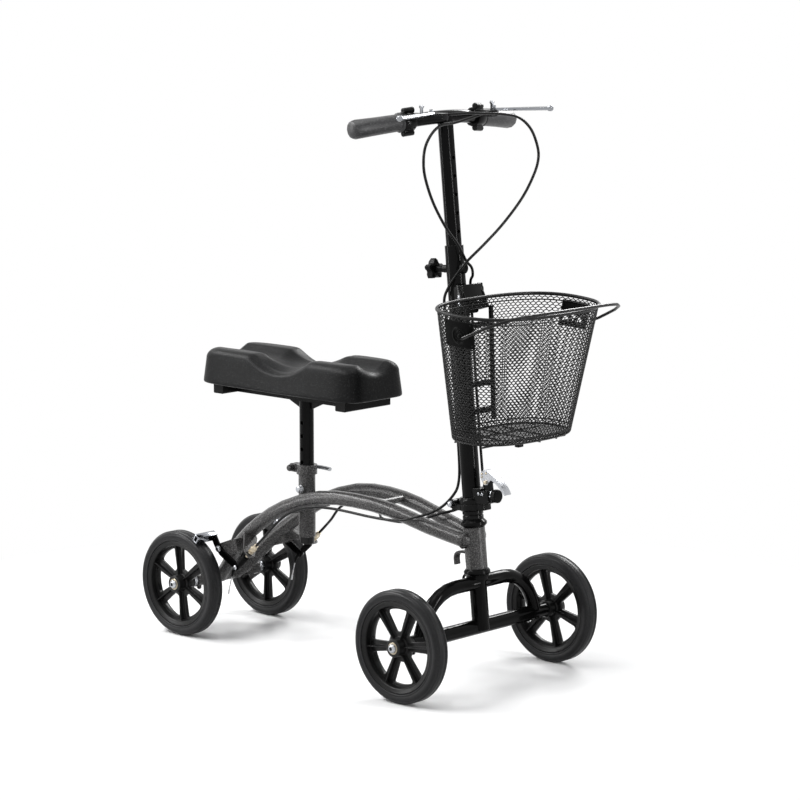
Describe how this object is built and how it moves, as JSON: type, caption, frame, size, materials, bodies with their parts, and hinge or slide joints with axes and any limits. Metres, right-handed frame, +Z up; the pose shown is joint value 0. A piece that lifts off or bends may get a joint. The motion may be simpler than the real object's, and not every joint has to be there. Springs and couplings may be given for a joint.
{
  "type": "knee walker",
  "caption": "Folding knee walker with a padded knee rest on an arched tube frame, steered front wheels, hand brakes and a lift-off basket.",
  "frame": {"origin": "on the floor, under the middle of the walker's overall box", "axes": "+X forwards, +Y to the rider's left, +Z up"},
  "size_m": [0.9082, 0.4376, 0.9766],
  "materials": {
    "brass": "turned",
    "cable": "satin",
    "chrome": "polished",
    "cushion": "smooth satin skin",
    "gloss_black": "gloss paint",
    "mesh_black": "satin coat",
    "nylon": "moulded",
    "rubber": "matte",
    "satin_black": "satin paint",
    "silver_vein": "powder coat, semi-gloss",
    "tyre": "matte",
    "zinc": "bright zinc"
  },
  "bodies": {
    "frame": {"main_frame": "silver_vein", "headset_cup_lower": "gloss_black", "headset_cup_upper": "gloss_black", "seat_clamp_collar": "zinc", "axle_bolt_rear_right": "zinc", "axle_bolt_rear_left": "zinc", "brake_adjuster_right": "brass", "brake_adjuster_left": "brass", "brake_boot_right": "rubber", "brake_boot_left": "rubber", "cable_frame_right": "cable", "cable_frame_left": "cable"},
    "fork": {"fork": "gloss_black", "headset_locknut": "satin_black", "fold_base": "satin_black", "fold_pin": "zinc", "axle_bolt_front_right": "zinc", "axle_bolt_front_left": "zinc", "cable_steer_right": "cable", "cable_steer_left": "cable"},
    "column": {"column_tube": "gloss_black", "fold_head": "satin_black", "latch_nut": "satin_black", "latch_pin": "brass", "basket_carrier": "satin_black", "column_cap": "satin_black", "cable_column_right": "cable", "cable_column_left": "cable"},
    "handlebar": {"handlebar": "gloss_black", "grip_right": "rubber", "grip_left": "rubber", "lever_perch_right": "satin_black", "lever_perch_left": "satin_black", "cable_loop_right": "cable", "cable_loop_left": "cable"},
    "latch_lever": {"latch_lever": "zinc"},
    "height_knob": {"height_knob": "satin_black"},
    "brake_lever_right": {"brake_lever_right": "chrome"},
    "brake_lever_left": {"brake_lever_left": "chrome"},
    "parking_lock_right": {"parking_lock_right": "zinc"},
    "parking_lock_left": {"parking_lock_left": "zinc"},
    "seat": {"seat_post": "gloss_black", "post_plug": "nylon", "seat_frame": "satin_black", "cushion": "cushion"},
    "seat_clamp_lever": {"seat_clamp_lever": "zinc"},
    "height_pin": {"height_pin": "zinc"},
    "brake_arm_right": {"brake_arm_right": "satin_black"},
    "brake_arm_left": {"brake_arm_left": "satin_black"},
    "basket": {"basket_mesh": "mesh_black", "basket_frame": "satin_black"},
    "bail": {"basket_bail": "mesh_black"},
    "wheel_front_right": {"wheel_front_right": "nylon", "tyre_front_right": "tyre"},
    "wheel_front_left": {"wheel_front_left": "nylon", "tyre_front_left": "tyre"},
    "wheel_rear_right": {"wheel_rear_right": "nylon", "tyre_rear_right": "tyre"},
    "wheel_rear_left": {"wheel_rear_left": "nylon", "tyre_rear_left": "tyre"}
  },
  "joints": [
    {"name": "steering", "type": "hinge", "parent": "frame", "child": "fork", "pos_m": [0.25503, 0, 0.18508], "axis": [-0.0988, 0, 0.9951], "range_deg": [-28, 28], "deforming": ["cable_steer_right", "cable_steer_left"]},
    {"name": "column_fold", "type": "hinge", "parent": "fork", "child": "column", "pos_m": [0.21412, 0, 0.30357], "axis": [0, 1, 0], "range_deg": [-33, 0], "deforming": ["cable_column_right", "cable_column_left"]},
    {"name": "handlebar_height", "type": "slide", "parent": "column", "child": "handlebar", "axis": [-0.0988, 0, 0.9951], "range_m": [-0.154, 0.0616], "deforming": ["cable_loop_right", "cable_loop_left"]},
    {"name": "latch_swing", "type": "hinge", "parent": "column", "child": "latch_lever", "pos_m": [0.27916, 0, 0.34686], "axis": [0, -1, 0], "range_deg": [0, 70]},
    {"name": "height_knob_turn", "type": "hinge", "parent": "column", "child": "height_knob", "pos_m": [0.15819, 0, 0.69581], "axis": [0.9951, 0, 0.0988], "continuous": true},
    {"name": "brake_lever_right_pull", "type": "hinge", "parent": "handlebar", "child": "brake_lever_right", "pos_m": [0.21948, -0.079, 0.963], "axis": [0, 0, -1], "range_deg": [0, 18], "stiffness_Nm_per_rad": 1.5, "springref_deg": -5.73},
    {"name": "brake_lever_left_pull", "type": "hinge", "parent": "handlebar", "child": "brake_lever_left", "pos_m": [0.21948, 0.079, 0.963], "axis": [0, 0, 1], "range_deg": [0, 18], "stiffness_Nm_per_rad": 1.5, "springref_deg": -5.73},
    {"name": "parking_lock_right_press", "type": "slide", "parent": "handlebar", "child": "parking_lock_right", "axis": [0, 0, -1], "range_m": [0, 0.0035], "stiffness_N_per_m": 250, "springref_m": -0.002},
    {"name": "parking_lock_left_press", "type": "slide", "parent": "handlebar", "child": "parking_lock_left", "axis": [0, 0, -1], "range_m": [0, 0.0035], "stiffness_N_per_m": 250, "springref_m": -0.002},
    {"name": "seat_height", "type": "slide", "parent": "frame", "child": "seat", "axis": [0, 0, 1], "range_m": [-0.0708, 0.0472]},
    {"name": "seat_clamp_swing", "type": "hinge", "parent": "frame", "child": "seat_clamp_lever", "pos_m": [-0.17713, 0.0153, 0.3155], "axis": [0, 0, 1], "range_deg": [0, 150]},
    {"name": "height_pin_pull", "type": "slide", "parent": "frame", "child": "height_pin", "axis": [0, -1, 0], "range_m": [0, 0.012]},
    {"name": "basket_lift", "type": "slide", "parent": "column", "child": "basket", "axis": [-0.0988, 0, 0.9951], "range_m": [0, 0.022]},
    {"name": "bail_swing", "type": "hinge", "parent": "basket", "child": "bail", "pos_m": [0.36948, 0, 0.614], "axis": [0, -1, 0], "range_deg": [0, 88]},
    {"name": "brake_arm_right_turn", "type": "hinge", "parent": "frame", "child": "brake_arm_right", "pos_m": [-0.29103, -0.08, 0.163], "axis": [0, -1, 0], "range_deg": [0, 4.5], "deforming": ["brake_boot_right"]},
    {"name": "brake_arm_left_turn", "type": "hinge", "parent": "frame", "child": "brake_arm_left", "pos_m": [-0.29103, 0.08, 0.163], "axis": [0, -1, 0], "range_deg": [0, 4.5], "deforming": ["brake_boot_left"]},
    {"name": "wheel_front_right_spin", "type": "hinge", "parent": "fork", "child": "wheel_front_right", "pos_m": [0.25778, -0.1924, 0.09525], "axis": [0, 1, 0], "continuous": true},
    {"name": "wheel_front_left_spin", "type": "hinge", "parent": "fork", "child": "wheel_front_left", "pos_m": [0.25778, 0.1924, 0.09525], "axis": [0, 1, 0], "continuous": true},
    {"name": "wheel_rear_right_spin", "type": "hinge", "parent": "frame", "child": "wheel_rear_right", "pos_m": [-0.35882, -0.10895, 0.09525], "axis": [0, 1, 0], "continuous": true},
    {"name": "wheel_rear_left_spin", "type": "hinge", "parent": "frame", "child": "wheel_rear_left", "pos_m": [-0.35882, 0.10895, 0.09525], "axis": [0, 1, 0], "continuous": true}
  ],
  "couplings": [
    {"joint": "brake_arm_right_turn", "follows": "brake_lever_right_pull", "ratio": 0.25},
    {"joint": "brake_arm_left_turn", "follows": "brake_lever_left_pull", "ratio": 0.25}
  ]
}
